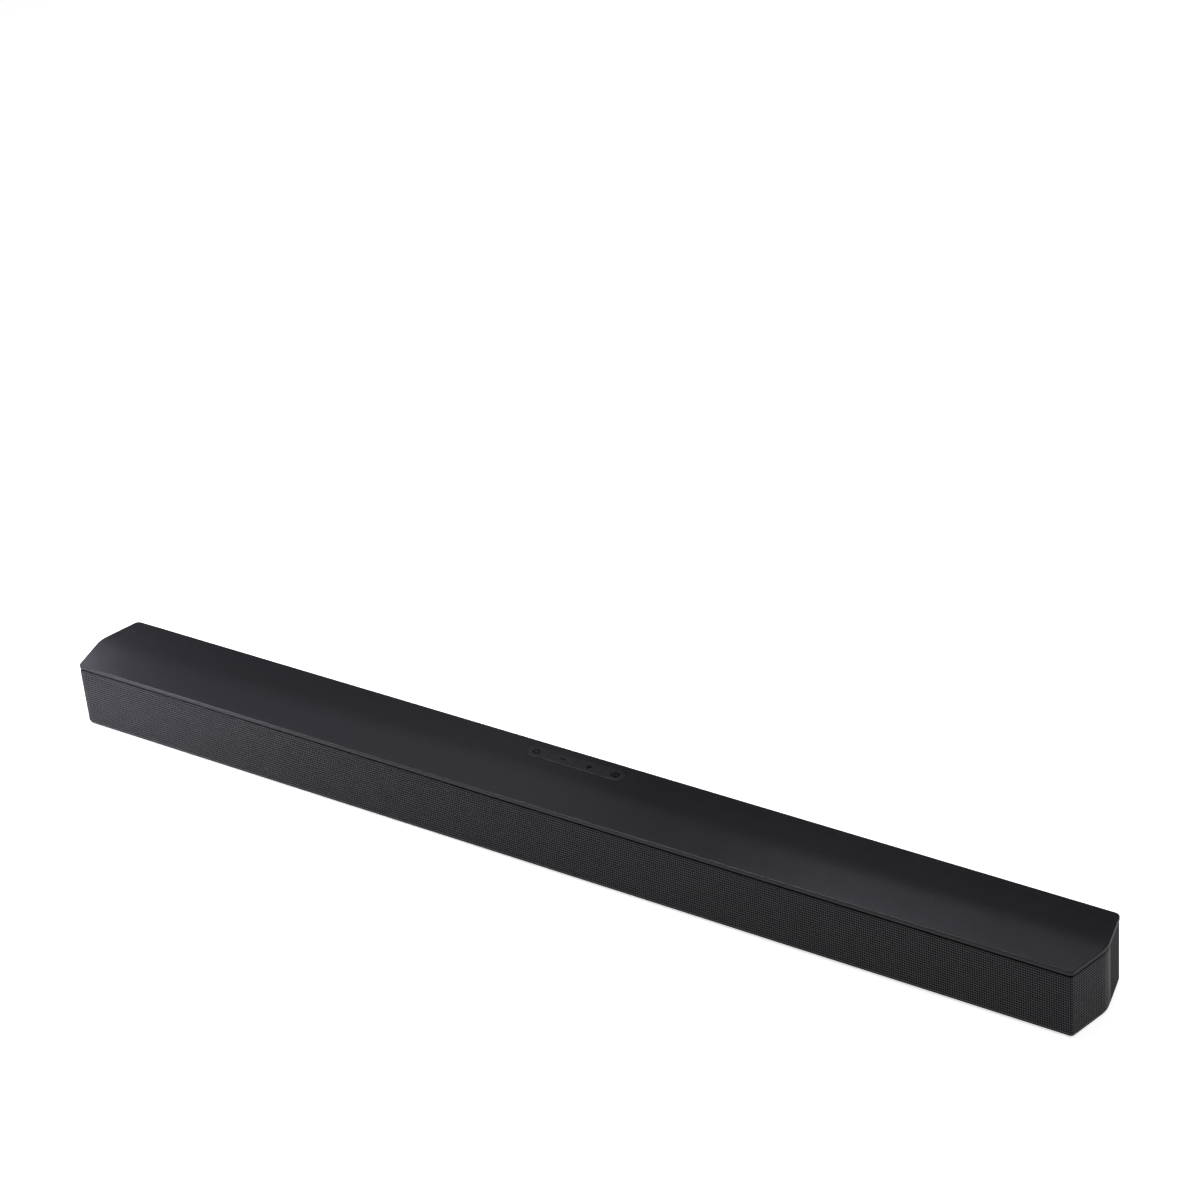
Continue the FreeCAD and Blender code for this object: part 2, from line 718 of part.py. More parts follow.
def make_woofer_frame(x):
    """Pressed basket: a flange, a tapering wall with windows, and the motor's seat."""
    flange_back = baffle_back + flange_thickness
    flange = standing_prism(rounded_rectangle(flange_length, flange_width, flange_corner_radius), x,
                            driver_height, baffle_back, flange_back)
    mouth_length, mouth_width = cone_length + mouth_margin, cone_width + mouth_margin
    back_length, back_width = basket_back_size
    outer = racetrack_loft((mouth_length + 2 * basket_wall, mouth_width + 2 * basket_wall),
                           (back_length, back_width), x, flange_back - overlap, basket_back)
    inner = racetrack_loft((mouth_length, mouth_width),
                           (back_length - 2 * basket_wall, back_width - 2 * basket_wall),
                           x, flange_back - overlap, basket_back)
    opening = standing_prism(pill_wire(mouth_length, mouth_width), x, driver_height, baffle_back, flange_back)
    seat_back = basket_back + basket_plate
    seat = standing_prism(pill_wire(back_length, back_width), x, driver_height, basket_back, seat_back)
    ledge = level_tube(spider_radius + ledge_outside, spider_radius - ledge_inside, x, driver_height,
                       spider_back, basket_back)
    frame = flange.fuse(outer).cut(inner).cut(opening).fuse(seat).fuse(ledge)
    frame = frame.cut(level_cylinder(seat_hole_radius, x, driver_height, basket_back, seat_back))
    for side in (-1, 1):
        for window_place in basket_window_places:
            frame = frame.cut(level_window(x + side * window_place))
    for screw_x, screw_z in driver_screw_places():
        if abs(screw_x - x) <= woofer_screw_x:
            frame = frame.cut(level_cylinder(driver_screw_clearance, screw_x, screw_z,
                                             baffle_back, flange_back))
    return frame.removeSplitter()


def level_window(x):
    """The cutter for one pair of windows through the basket's upper and lower wall."""
    half_width = 6.0
    return box(x - half_width, x + half_width, baffle_back + 6.0, basket_back - 5.0, floor_top, cover_top)


def make_woofer_motor(x):
    """Top plate, ring magnet, back plate and pole, glued into one motor."""
    front = basket_back + basket_plate
    plate = 3.0
    magnet = 8.0
    plate_radius = 18.0
    magnet_radius = 20.5
    magnet_bore = 12.0
    pole_radius = coil_radius - 0.6
    gap_radius = coil_radius + 1.2
    magnet_front = front + plate
    magnet_back = magnet_front + magnet
    top_plate = level_tube(plate_radius, gap_radius, x, driver_height, front, magnet_front)
    ring = level_tube(magnet_radius, magnet_bore, x, driver_height, magnet_front, magnet_back)
    back_plate = level_cylinder(plate_radius, x, driver_height, magnet_back, magnet_back + plate)
    pole = level_cylinder(pole_radius, x, driver_height, front, magnet_back)
    return joined([top_plate, ring, back_plate, pole])


def thin_cap(x, base, radius, height, wall):
    """A shallow spherical cap that bulges to the front from its base circle."""
    sphere_radius = (radius ** 2 + height ** 2) / (2 * height)
    centre = Vector(x, base - height + sphere_radius, driver_height)
    ball = Part.makeSphere(sphere_radius, centre).cut(Part.makeSphere(sphere_radius - wall, centre))
    return ball.common(level_cylinder(radius, x, driver_height, base - height - 1, base))


def make_woofer_cone(x):
    """Paper cone with its dust cap and coil former; the whole piece moves along Y."""
    rim = baffle_back + 0.1
    throat = -22.0
    throat_length = 24.0
    paper = 0.8
    cap_base = throat - 2.0
    cap_height = 3.0
    cap_wall = 0.5
    winding_length = 5.0
    winding_wall = 0.3
    former_radius = coil_radius + former_wall
    solid = racetrack_loft((cone_length, cone_width), (throat_length, 2 * former_radius), x, rim, throat)
    hollow = solid.copy()
    hollow.translate(Vector(0, -paper, 0))
    shell = solid.cut(hollow)
    cap = thin_cap(x, cap_base, former_radius, cap_height, cap_wall)
    former = level_tube(former_radius, coil_radius, x, driver_height, cap_base, coil_end)
    winding = level_tube(former_radius + winding_wall, former_radius, x, driver_height,
                         coil_end - winding_length, coil_end)
    return joined([shell, cap, former, winding])


def roll_profile(start):
    """Section of the half-roll, in the plane across the bar through its top middle point."""
    outer = roll_radius + roll_sheet / 2
    inner = roll_radius - roll_sheet / 2
    up = Vector(0, 0, 1)
    forward = Vector(0, -1, 0)
    return Part.Wire([
        Part.Arc(start + up * outer, start + forward * outer, start - up * outer).toShape(),
        Part.LineSegment(start - up * outer, start - up * inner).toShape(),
        Part.Arc(start - up * inner, start + forward * inner, start + up * inner).toShape(),
        Part.LineSegment(start + up * inner, start + up * outer).toShape(),
    ])


def glue_ring(x, margin, width):
    """Flat racetrack ring whose inner edge stands a margin outside the cone's edge."""
    front = baffle_back - roll_sheet
    outside = standing_prism(pill_wire(cone_length + margin + width, cone_width + margin + width),
                             x, driver_height, front, baffle_back)
    inside = standing_prism(pill_wire(cone_length + margin, cone_width + margin), x, driver_height,
                            front, baffle_back)
    return outside.cut(inside)


def make_woofer_surround(x):
    """Rubber half-roll between the cone's edge and the flange, with flat glue rings."""
    middle = baffle_back - roll_sheet / 2
    roll_line = standing_wire(pill_wire(cone_length + 2 * roll_radius, cone_width + 2 * roll_radius),
                              x, middle, driver_height)
    start = Vector(x, middle, driver_height + cone_width / 2 + roll_radius)
    roll = roll_line.makePipeShell([roll_profile(start)], True, False)
    glue_width = 4.0
    return joined([roll, glue_ring(x, 4 * roll_radius, glue_width), glue_ring(x, -glue_width, glue_width)])


def make_woofer_spider(x):
    """Corrugated cloth ring that centres the coil former."""
    inner = coil_radius + former_wall + 0.45
    cloth = 0.4
    waves = 3
    wave_height = 1.0
    step = (spider_radius - inner) / (2 * waves + 1)
    ridge = []
    for index in range(2 * waves + 2):
        lift = wave_height if index % 2 and index <= 2 * waves else 0.0
        ridge.append((inner + index * step, lift))
    front = [Vector(radius, spider_back - cloth - lift, 0) for radius, lift in ridge]
    back = [Vector(radius, spider_back - lift, 0) for radius, lift in reversed(ridge)]
    outline = Part.makePolygon(front + back + [front[0]])
    ring = Part.Face(outline).revolve(Vector(0, 0, 0), Vector(0, 1, 0), 360)
    ring.translate(Vector(x, 0, driver_height))
    return ring


# ---------------------------------------------------------------- tweeters

def make_tweeter_body(x):
    """Face plate and magnet cup, with the ring-shaped gap that the dome's coil moves in."""
    plate_back = baffle_back + flange_thickness
    cup_radius = 14.0
    cup_length = 14.0
    gap_depth = 8.0
    bore = dome_radius + 0.25
    plate = level_cylinder(tweeter_flange_radius, x, driver_height, baffle_back, plate_back)
    cup = level_cylinder(cup_radius, x, driver_height, plate_back, plate_back + cup_length)
    body = plate.fuse(cup)
    body = body.cut(level_cylinder(bore, x, driver_height, baffle_back, plate_back))
    body = body.cut(level_tube(bore, dome_radius - 1.6, x, driver_height, plate_back, plate_back + gap_depth))
    for level in (-1, 1):
        z = driver_height + level * tweeter_screw_z
        body = body.cut(level_cylinder(driver_screw_clearance, x, z, baffle_back, plate_back))
    return body.removeSplitter()


def make_tweeter_dome(x):
    """Thin dome with its coil former; the whole piece moves along Y."""
    base = baffle_back + 1.0
    cap_height = 4.0
    cap_wall = 0.4
    former_radius = dome_radius - 0.5
    former_length = 7.0
    cap = thin_cap(x, base, dome_radius, cap_height, cap_wall)
    former = level_tube(former_radius, former_radius - former_wall, x, driver_height, base - overlap,
                        base + former_length)
    return joined([cap, former])


# ---------------------------------------------------------------- jack pocket

def jack_screw_places():
    return [(side * jack_screw_x, z) for side in (-1, 1) for z in jack_screw_heights]


def socket_box(half_width, half_height, x, y_low, y_high):
    return box(x - half_width, x + half_width, y_low, y_high,
               jack_row_height - half_height, jack_row_height + half_height)


def make_jack_plate():
    """Plate across the pocket with one hole for each socket."""
    plate = box(-pocket_half_length + plate_gap, pocket_half_length - plate_gap, jack_plate_front,
                jack_plate_back, floor_top + plate_gap, pocket_top - plate_gap)
    fit = 0.15
    screw_hole_radius = 1.4
    for x, half_width, half_height in socket_sizes.values():
        plate = plate.cut(socket_box(half_width + fit, half_height + fit, x,
                                     jack_plate_front, jack_plate_back))
    for x, z in jack_screw_places():
        plate = plate.cut(level_cylinder(screw_hole_radius, x, z, jack_plate_front, jack_plate_back))
    return plate


def make_jack_board():
    """Upright board behind the jack plate that carries all the sockets."""
    return box(-jack_board_half_length, jack_board_half_length, jack_board_front, jack_board_back,
               jack_board_bottom, jack_board_top)


def make_video_socket(name):
    """Metal shell with a chamfered lower half and a contact blade in the middle."""
    x, half_width, half_height = socket_sizes[name]
    wall = 0.5
    chamfer = 1.2
    blade_margin = 1.6
    blade_half_height = 0.6
    shell = socket_box(half_width, half_height, x, jack_board_back, jack_plate_back)
    mouth = socket_box(half_width - wall, half_height - wall, x, jack_plate_back - socket_depth,
                       jack_plate_back)
    low_edges = [edge for edge in mouth.Edges
                 if abs(edge.Length - socket_depth) < 1e-4 and edge.CenterOfMass.z < jack_row_height]
    mouth = mouth.makeChamfer(chamfer, low_edges)
    blade = socket_box(half_width - blade_margin, blade_half_height, x, jack_plate_back - socket_depth,
                       jack_plate_back - blade_setback)
    return shell.cut(mouth).fuse(blade)


def make_usb_socket():
    """Metal shell with a contact blade in its upper half."""
    x, half_width, half_height = socket_sizes["usb_socket"]
    wall = 0.4
    shell = socket_box(half_width, half_height, x, jack_board_back, jack_plate_back)
    mouth = socket_box(half_width - wall, half_height - wall, x, jack_plate_back - socket_depth,
                       jack_plate_back)
    half_blade = half_width - 1.0
    blade = box(x - half_blade, x + half_blade, jack_plate_back - socket_depth,
                jack_plate_back - blade_setback, jack_row_height + 0.4, jack_row_height + 2.2)
    return shell.cut(mouth).fuse(blade)


def make_optical_socket():
    """Square optical socket with its shutter closed."""
    x, half_width, half_height = socket_sizes["optical_socket"]
    case = socket_box(half_width, half_height, x, jack_board_back, jack_plate_back)
    wall = 1.8
    shutter_depth = 1.5
    mouth = socket_box(half_width - wall, half_height - wall, x, jack_plate_back - shutter_depth,
                       jack_plate_back)
    return case.cut(mouth)


def make_power_inlet():
    """Round low-voltage inlet: a 6.3 mm well with a 2 mm centre pin."""
    x, half_width, half_height = socket_sizes["power_inlet"]
    case = socket_box(half_width, half_height, x, jack_board_back, jack_plate_back)
    well_bottom = jack_plate_back - inlet_depth
    well = level_cylinder(inlet_radius, x, jack_row_height, well_bottom, jack_plate_back)
    pin = level_cylinder(inlet_pin_radius, x, jack_row_height, well_bottom, jack_plate_back - 1.0)
    return case.cut(well).fuse(pin)


# ---------------------------------------------------------------- boards

def make_main_board():
    """The amplifier and processor board, on four standoffs."""
    bottom = main_board_top - board_thickness
    board = box(board_left, board_right, board_front, board_back, bottom, main_board_top)
    for x, y in standoff_places:
        board = board.cut(upright_cylinder(board_hole_radius, x, y, bottom, main_board_top))
    return board


def chip(x, y, side, height):
    half = side / 2
    return box(x - half, x + half, y - half, y + half, main_board_top, main_board_top + height)


def make_amplifier_chips():
    chips = [chip(x, amplifier_y, amplifier_side, amplifier_height) for x in amplifier_places]
    return Part.makeCompound(chips)


def make_processor_chip():
    return chip(*processor_place, processor_side, processor_height)


def make_heat_sink():
    """Extruded aluminium: a base that rests on the amplifier chips, and thin fins."""
    base_bottom = main_board_top + amplifier_height
    base_top = base_bottom + sink_base_thickness
    sink = [box(sink_left, sink_right, sink_front, sink_back, base_bottom, base_top)]
    first = sink_left + sink_fin_thickness
    pitch = (sink_right - sink_left - 2 * sink_fin_thickness) / (sink_fins - 1)
    for index in range(sink_fins):
        x = first + index * pitch
        sink.append(box(x - sink_fin_thickness / 2, x + sink_fin_thickness / 2, sink_front, sink_back,
                        base_top - overlap, base_top + sink_fin_height))
    return joined(sink)


def make_output_coils():
    """Two shielded coils for each of the three amplifier channels."""
    coils = []
    for index in range(coil_count):
        coil = chip(first_coil_x + coil_pitch * index, coil_row_y, coil_side, coil_height)
        coils.append(coil.makeFillet(coil_edge_round, edges_at_height(coil, main_board_top + coil_height)))
    return Part.makeCompound(coils)


def make_capacitors():
    cans = []
    for x, y in capacitor_places:
        can = upright_cylinder(capacitor_radius, x, y, main_board_top, main_board_top + capacitor_height)
        top_edge = edges_at_height(can, main_board_top + capacitor_height)
        cans.append(can.makeFillet(capacitor_edge_round, top_edge))
    return Part.makeCompound(cans)


def make_wireless_module():
    """Small radio board with its shield can."""
    bottom = wireless_top - wireless_thickness
    board = box(-205.0, -160.0, 4.0, 30.0, bottom, wireless_top)
    for x, y in wireless_standoffs:
        board = board.cut(upright_cylinder(board_hole_radius, x, y, bottom, wireless_top))
    can_height = 2.6
    can = box(-196.0, -169.0, 8.0, 26.0, wireless_top, wireless_top + can_height)
    return board.fuse(can)


def make_ribbon_cable():
    """Flat cable that runs from the jack board's edge and drops in an S onto the main board."""
    half_thickness = 0.3
    front = -4.0
    width = 14.0
    start = 63.4
    turn = 98.0
    high = 16.0
    low = main_board_top + 0.1 + half_thickness
    radius = (high - low) / 2
    diagonal = radius * math.sin(math.pi / 4)
    middle = turn + radius
    end = middle + radius
    run = Part.LineSegment(Vector(start, 0, high), Vector(turn, 0, high))
    bend_down = Part.Arc(Vector(turn, 0, high), Vector(turn + diagonal, 0, high - radius + diagonal),
                         Vector(middle, 0, high - radius))
    bend_out = Part.Arc(Vector(middle, 0, low + radius), Vector(end - diagonal, 0, low + radius - diagonal),
                        Vector(end, 0, low))
    tail = Part.LineSegment(Vector(end, 0, low), Vector(end + 6.0, 0, low))
    path = Part.Wire([curve.toShape() for curve in (run, bend_down, bend_out, tail)])
    back = front + width
    corners = [Vector(start, front, high - half_thickness), Vector(start, back, high - half_thickness),
               Vector(start, back, high + half_thickness), Vector(start, front, high + half_thickness)]
    profile = Part.makePolygon(corners + [corners[0]])
    return path.makePipeShell([profile], True, False)


def make_front_board():
    """Small upright board behind the baffle's window."""
    half_length = 20.0
    half_height = 10.0
    board = box(front_board_centre - half_length, front_board_centre + half_length, front_board_face,
                front_board_face + board_thickness, front_board_height - half_height,
                front_board_height + half_height)
    for x in front_board_posts():
        board = board.cut(level_cylinder(small_screw_clearance, x, front_board_height, front_board_face,
                                         front_board_face + board_thickness))
    return board


def make_infrared_receiver():
    """Dark block with a round lens that looks out through the baffle's window."""
    x = front_board_centre - 8.0
    half_width = 3.0
    half_height = 3.5
    block_front = front_board_face - 3.5
    lens_radius = 2.4
    block = box(x - half_width, x + half_width, block_front, front_board_face,
                front_board_height - half_height, front_board_height + half_height)
    lens = Part.makeSphere(lens_radius, Vector(x, block_front, front_board_height))
    return block.fuse(lens)


def make_status_lights():
    """Three small lights in a row beside the infrared receiver."""
    first_x = front_board_centre + 1.0
    pitch = 4.0
    half_width = 1.0
    half_height = 0.6
    light_depth = 1.1
    lights = []
    for index in range(3):
        x = first_x + pitch * index
        lights.append(box(x - half_width, x + half_width, front_board_face - light_depth, front_board_face,
                          front_board_height - half_height, front_board_height + half_height))
    return Part.makeCompound(lights)


# ---------------------------------------------------------------- all the parts

def make_parts():
    parts = {
        "lower_housing": make_lower_housing(),
        "top_cover": make_top_cover(),
        "front_grille": make_front_grille(),
        "front_baffle": make_front_baffle(),
        "acoustic_cloth": make_acoustic_cloth(),
        "housing_screws": make_housing_screws(),
        "board_screws": make_board_screws(),
        "driver_screws": make_driver_screws(),
        "jack_plate_screws": make_jack_plate_screws(),
        "bracket_inserts": make_bracket_inserts(),
        "jack_plate": make_jack_plate(),
        "jack_board": make_jack_board(),
        "power_inlet": make_power_inlet(),
        "hdmi_input_socket": make_video_socket("hdmi_input_socket"),
        "hdmi_output_socket": make_video_socket("hdmi_output_socket"),
        "optical_socket": make_optical_socket(),
        "usb_socket": make_usb_socket(),
        "main_board": make_main_board(),
        "amplifier_chips": make_amplifier_chips(),
        "processor_chip": make_processor_chip(),
        "heat_sink": make_heat_sink(),
        "output_coils": make_output_coils(),
        "capacitors": make_capacitors(),
        "wireless_module": make_wireless_module(),
        "ribbon_cable": make_ribbon_cable(),
        "front_board": make_front_board(),
        "infrared_receiver": make_infrared_receiver(),
        "status_lights": make_status_lights(),
        "key_board": make_key_board(),
    }
    for place, (x, y) in foot_places.items():
        parts["foot_" + place] = make_foot(x, y)
    for index, name in enumerate(key_names):
        parts["key_" + name] = make_key_cap(index)
        parts["key_switch_" + name] = make_key_switch(index)
    for side, x in woofer_centres.items():
        parts["woofer_frame_" + side] = make_woofer_frame(x)
        parts["woofer_motor_" + side] = make_woofer_motor(x)
        parts["woofer_cone_" + side] = make_woofer_cone(x)
        parts["woofer_surround_" + side] = make_woofer_surround(x)
        parts["woofer_spider_" + side] = make_woofer_spider(x)
    for side, x in tweeter_centres.items():
        parts["tweeter_body_" + side] = make_tweeter_body(x)
        parts["tweeter_dome_" + side] = make_tweeter_dome(x)
    return parts


os.makedirs("parts", exist_ok=True)
for part_name, part_shape in make_parts().items():
    part_shape.exportStep("parts/" + part_name + ".step")
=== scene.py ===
import json
import math

import bmesh
import bpy
import numpy as np
from mathutils import Matrix, Vector


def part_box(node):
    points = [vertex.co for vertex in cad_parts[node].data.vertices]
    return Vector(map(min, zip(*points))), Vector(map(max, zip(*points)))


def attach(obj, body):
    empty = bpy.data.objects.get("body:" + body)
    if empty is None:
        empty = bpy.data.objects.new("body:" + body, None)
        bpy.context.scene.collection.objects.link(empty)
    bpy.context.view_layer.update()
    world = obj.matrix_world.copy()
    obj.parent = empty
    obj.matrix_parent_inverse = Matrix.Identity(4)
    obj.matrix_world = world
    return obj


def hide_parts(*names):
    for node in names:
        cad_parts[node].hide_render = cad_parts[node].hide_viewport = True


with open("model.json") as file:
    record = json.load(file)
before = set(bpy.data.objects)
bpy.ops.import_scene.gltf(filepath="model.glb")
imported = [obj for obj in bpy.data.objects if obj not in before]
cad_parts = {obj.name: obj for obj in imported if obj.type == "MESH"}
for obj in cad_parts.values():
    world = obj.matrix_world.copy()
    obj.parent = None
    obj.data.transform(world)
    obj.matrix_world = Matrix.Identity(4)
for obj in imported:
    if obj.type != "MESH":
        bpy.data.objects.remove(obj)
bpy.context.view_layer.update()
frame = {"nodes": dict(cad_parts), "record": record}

# Metres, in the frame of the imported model: +X along the bar, -Y out of the grille, +Z up.
MM = 0.001
nodes = frame["nodes"]

# Plan of the bar
half_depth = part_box("top_cover")[1][1]
corner_half_length = 481.2 * MM     # middle to the front and back corners
point_half_length = 490.75 * MM     # middle to where two end faces meet, before rounding
end_point_radius = 28.0 * MM
face_inset = 0.4 * MM               # the sheet stands back from the cover's outline
sheet_corner_radius = 1.6 * MM

# The punched sheet
sheet_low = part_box("front_grille")[0][2]
sheet_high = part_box("front_grille")[1][2]
sheet_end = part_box("front_grille")[1][1]
sheet_thickness = 0.6 * MM
sheet_lip = 4.1 * MM                # how far the folded edges reach inwards
sheet_fold_radius = 0.5 * MM
inner_fold_radius = 0.05 * MM
fold_steps = 4
hole_pitch = 1.94 * MM
row_pitch = 2.25 * MM
row_count = 23
top_row_drop = 1.6 * MM             # top of the sheet to the middle of the highest row
top_border_drop = 0.66 * MM         # top of the sheet to where the flat face begins
hole_radius = 0.83 * MM
hole_sides = 8                      # a hole's ring has one point for each point round its cell
least_end_margin = 1.0 * MM         # plain metal beyond the last column
sheet_pieces = 4
sharp_angle = math.radians(60)
unrolled_gap = 1.1                  # spacing of the two unrolled faces, in heights of the sheet

# Keys and their engraved icons
key_names = ["power", "minus", "plus", "source"]
icon_depth = 0.30 * MM
icon_stroke = 1.1 * MM
icon_size = 6.0 * MM
power_ring_radius = 2.7 * MM
power_ring_start = 130.0            # degrees from +X
power_ring_end = 410.0
power_bar_length = 3.0 * MM
power_bar_lift = 2.1 * MM
source_frame_width = 6.6 * MM
arrow_tail = -4.2 * MM              # from the middle of the key
arrow_tip = 1.4 * MM
arrow_head = 1.3 * MM
arc_steps = 28
weld_distance = 0.001 * MM

# Stage
floor_reach = 30.0
floor_glow = 0.70
sky_strength = 0.03
white_light = (1.0, 1.0, 1.0)
cool_light = (0.95, 0.94, 1.07)

# Camera
camera_azimuth = math.radians(35.84)
camera_elevation = math.radians(30.91)
camera_roll = math.radians(-5.28)
camera_distance = 2.75385
aim_across = 28.936 * MM            # moves the bar off the middle of the frame
aim_up = 197.199 * MM
lens_length = 100.44                # Blender's lens and sensor are in millimetres
sensor_width = 36.0
camera_clip_end = 100.0


# ---------------------------------------------------------------- plan path of the sheet

def plan_corners(inset):
    """The six plan corners, moved in from the cover's outline by the inset."""
    corners = [Vector((-corner_half_length, -half_depth)), Vector((corner_half_length, -half_depth)),
               Vector((point_half_length, 0)), Vector((corner_half_length, half_depth)),
               Vector((-corner_half_length, half_depth)), Vector((-point_half_length, 0))]
    moved = []
    for index, corner in enumerate(corners):
        into = (corner - corners[index - 1]).normalized()
        out_of = (corners[(index + 1) % 6] - corner).normalized()
        normal_in = Vector((into.y, -into.x))
        normal_out = Vector((out_of.y, -out_of.x))
        moved.append(corner - (normal_in + normal_out) * (inset / (1 + normal_in.dot(normal_out))))
    return moved


def sheet_path():
    """The sheet's outer face in plan, as straight and round stretches from the left end to the right.

    Each stretch is (length, start point, start direction, turn per metre).
    """
    front_left, front_right, right_point, back_right, back_left, left_point = plan_corners(face_inset)

    def on_back_face(point, corner):
        share = (sheet_end - point.y) / (corner.y - point.y)
        return point.lerp(corner, share)

    stops = [on_back_face(left_point, back_left), left_point, front_left, front_right, right_point,
             on_back_face(right_point, back_right)]
    radii = [0, end_point_radius - face_inset, sheet_corner_radius, sheet_corner_radius,
             end_point_radius - face_inset, 0]
    stretches = []
    place = stops[0]
    for index in range(1, len(stops)):
        heading = (stops[index] - stops[index - 1]).normalized()
        reach = 0.0
        turn = 0.0
        if radii[index]:
            following = (stops[index + 1] - stops[index]).normalized()
            turn = -heading.angle_signed(following)
            reach = radii[index] * math.tan(turn / 2)
        straight_end = stops[index] - heading * reach
        stretches.append(((straight_end - place).length, place, heading, 0.0))
        place = straight_end
        if radii[index]:
            stretches.append((turn * radii[index], place, heading, 1 / radii[index]))
            place = stops[index] + following * reach
    return stretches


def along(stretches, distances):
    """Points and outward normals at distances along the path, measured from its middle."""
    total = sum(stretch[0] for stretch in stretches)
    run = np.asarray(distances) + total / 2
    points = np.zeros((len(run), 2))
    normals = np.zeros((len(run), 2))
    begin = 0.0
    for index, (length, start, heading, bend) in enumerate(stretches):
        is_last = index == len(stretches) - 1
        inside = (run >= begin) & ((run < begin + length) | is_last)
        step = run[inside] - begin
        first_angle = math.atan2(heading.y, heading.x)
        angle = first_angle + step * bend
        if bend:
            points[inside, 0] = start.x + (np.sin(angle) - math.sin(first_angle)) / bend
            points[inside, 1] = start.y - (np.cos(angle) - math.cos(first_angle)) / bend
        else:
            points[inside, 0] = start.x + step * heading.x
            points[inside, 1] = start.y + step * heading.y
        normals[inside, 0] = np.sin(angle)
        normals[inside, 1] = -np.cos(angle)
        begin += length
    return points, normals


# ---------------------------------------------------------------- punched sheet

def quad_mesh(name, points, quads, across):
    """A mesh of four-sided faces with a UV map that unrolls the sheet."""
    mesh = bpy.data.meshes.new(name)
    mesh.vertices.add(len(points))
    mesh.vertices.foreach_set("co", np.asarray(points, np.float32).ravel())
    mesh.loops.add(len(quads) * 4)
    mesh.loops.foreach_set("vertex_index", np.asarray(quads, np.int32).ravel())
    mesh.polygons.add(len(quads))
    mesh.polygons.foreach_set("loop_start", np.arange(0, len(quads) * 4, 4, dtype=np.int32))
    unrolled = mesh.uv_layers.new(name="OFBake")
    unrolled.uv.foreach_set("vector", np.asarray(across, np.float32)[np.asarray(quads).ravel()].ravel())
    mesh.update(calc_edges=True)
    mesh.validate()
    return mesh


def fold_profile(setback, radius):
    """The sheet's lower folded edge as (depth behind the outer face, height above the sheet's foot)."""
    points = [(sheet_lip, setback)]
    for step in range(fold_steps + 1):
        angle = step / fold_steps * math.pi / 2
        depth = setback + radius - radius * math.sin(angle)
        height = setback + radius - radius * math.cos(angle)
        points.append((depth, height))
    return points


def sheet_profile(setback, radius):
    """The sheet's section from the bottom lip to the top lip, in three lists.

    Each point is (depth behind the outer face, height). The middle list has a point at every
    half row of holes; the top row starts right under the fold.
    """
    fold = fold_profile(setback, radius)
    low = [(depth, sheet_low + height) for depth, height in fold]
    high = [(depth, sheet_high - height) for depth, height in reversed(fold)]
    first_border = sheet_high - top_row_drop - (row_count - 0.5) * row_pitch
    borders = [first_border + index * row_pitch / 2 for index in range(2 * row_count + 1)]
    borders[-1] = sheet_high - top_border_drop
    rows = [(setback, height) for height in borders]
    return low, rows, high


